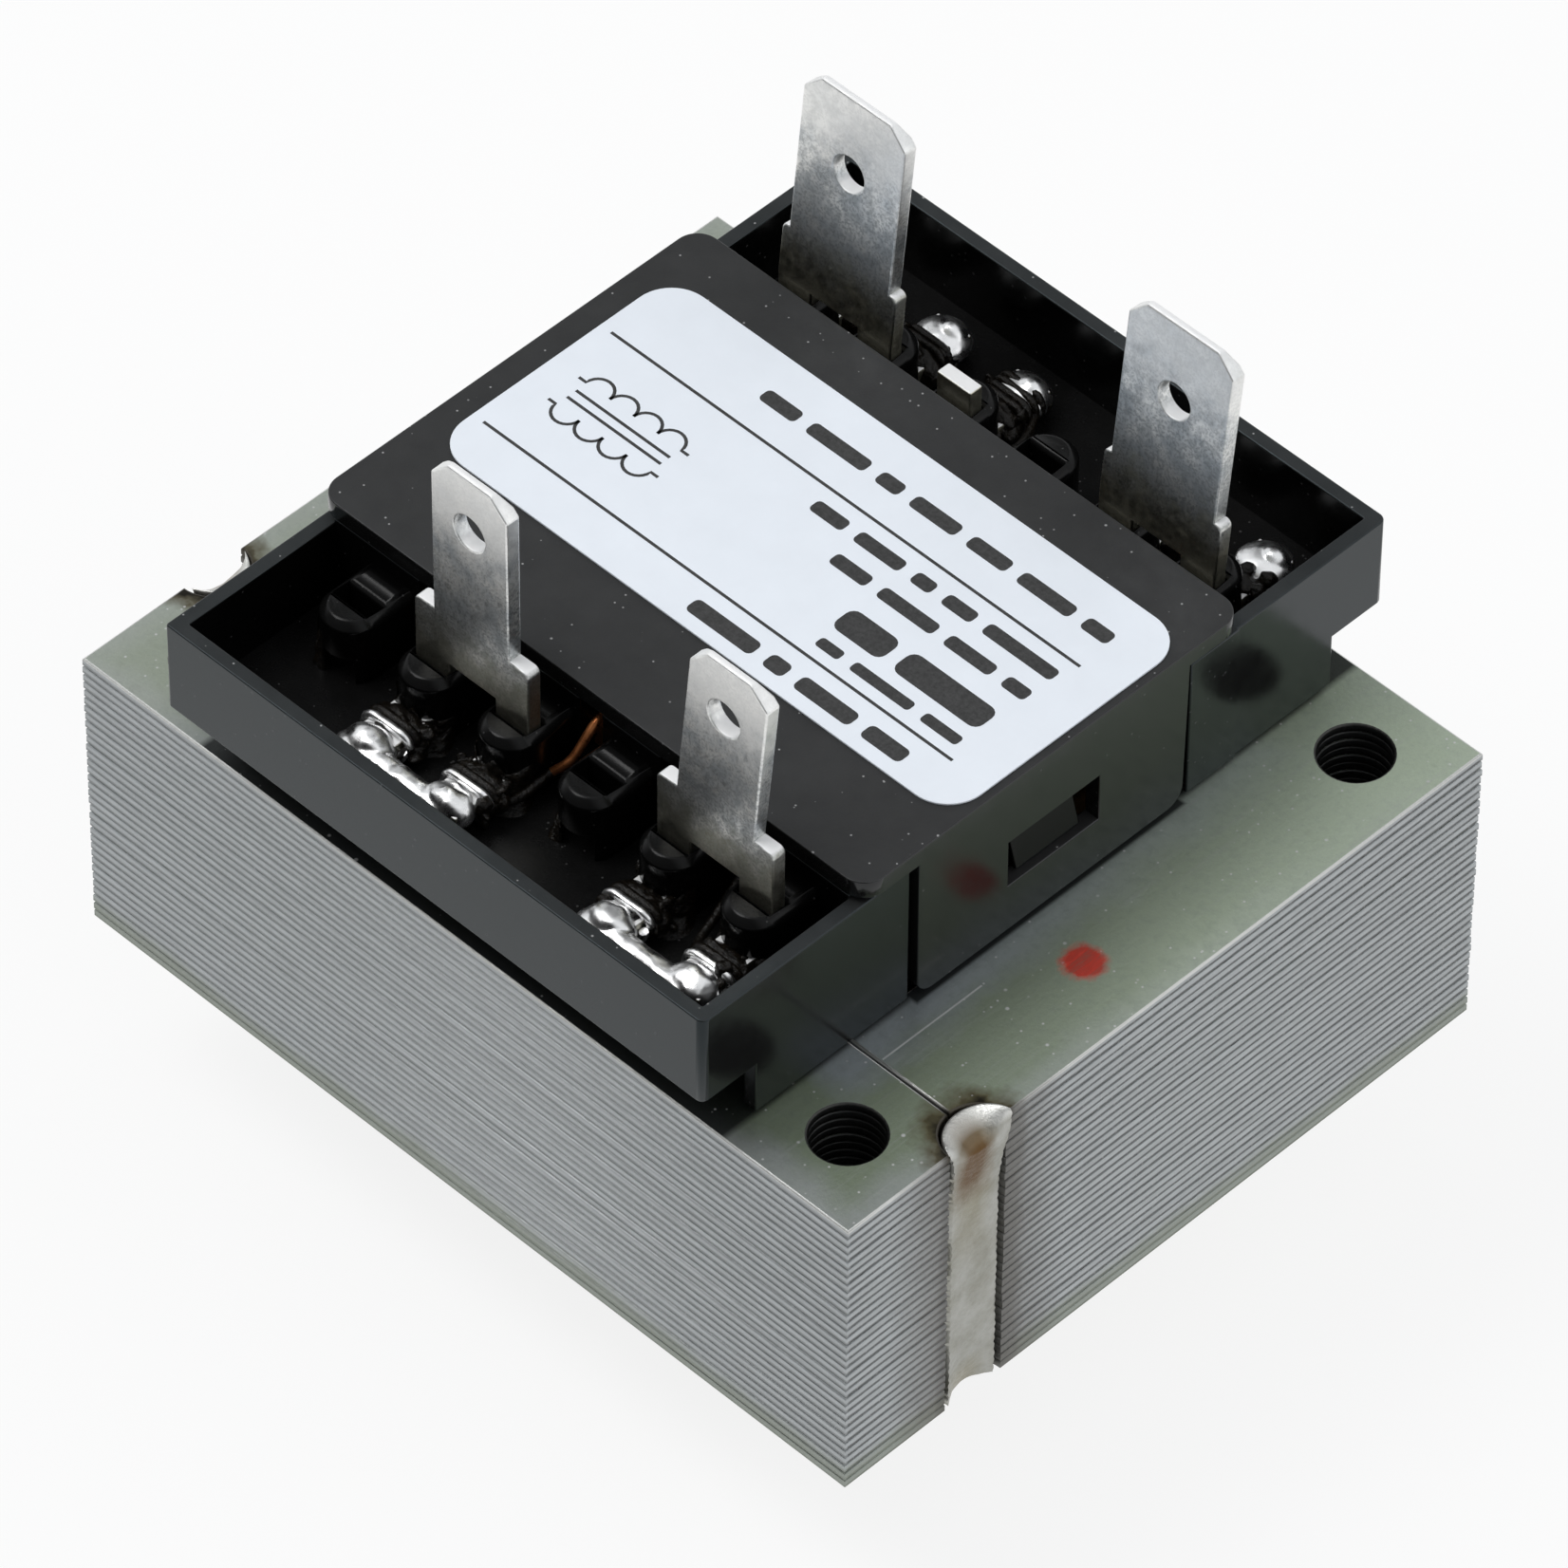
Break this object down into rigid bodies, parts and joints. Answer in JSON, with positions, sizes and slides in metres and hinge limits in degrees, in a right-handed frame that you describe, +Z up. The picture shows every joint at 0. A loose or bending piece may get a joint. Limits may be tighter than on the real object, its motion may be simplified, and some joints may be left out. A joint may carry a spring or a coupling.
{
  "type": "mains transformer",
  "caption": "Open-frame mains transformer: welded laminated core, black two-chamber coil former with a terminal tray at each end, clip-on cover with label, upright blade tabs.",
  "frame": {"origin": "centre of the underside, where the flanges of the coil former rest", "axes": "+Z up to the blade tabs, +X along the trays and the longer side of the core, +Y towards the primary tray"},
  "size_m": [0.048, 0.0428, 0.0461],
  "materials": {
    "core_steel": "rolled electrical steel with an olive-grey coating",
    "weld": "bare weld bead with brown heat tint",
    "moulding": "black moulded plastic, satin to glossy",
    "cover": "black moulded plastic, matte top",
    "label": "white satin film",
    "copper": "enamelled copper wire",
    "tape": "amber insulating tape",
    "tinned_sheet": "dull tinned sheet",
    "fuse_body": "plain",
    "tinned_wire": "tinned wire",
    "solder": "bright solder"
  },
  "bodies": {
    "root": {"e_stack": "core_steel", "i_stack": "core_steel", "weld_bead_left": "weld", "weld_bead_right": "weld", "coil_former": "moulding", "coil_cover": "cover", "rating_label": "label", "primary_winding": "copper", "secondary_winding": "copper", "primary_tape": "tape", "secondary_tape": "tape", "primary_tab_left": "tinned_sheet", "primary_tab_right": "tinned_sheet", "secondary_tab_left": "tinned_sheet", "secondary_tab_right": "tinned_sheet", "link_pin": "tinned_sheet", "thermal_fuse": "fuse_body", "fuse_lead_link": "tinned_wire", "fuse_lead_tab": "tinned_wire", "primary_lead_start": "copper", "primary_lead_end": "copper", "secondary_lead_left": "copper", "secondary_lead_right": "copper", "primary_solder_left": "solder", "primary_solder_right": "solder", "link_solder": "solder", "secondary_solder_left": "solder", "secondary_solder_right": "solder"}
  },
  "joints": []
}
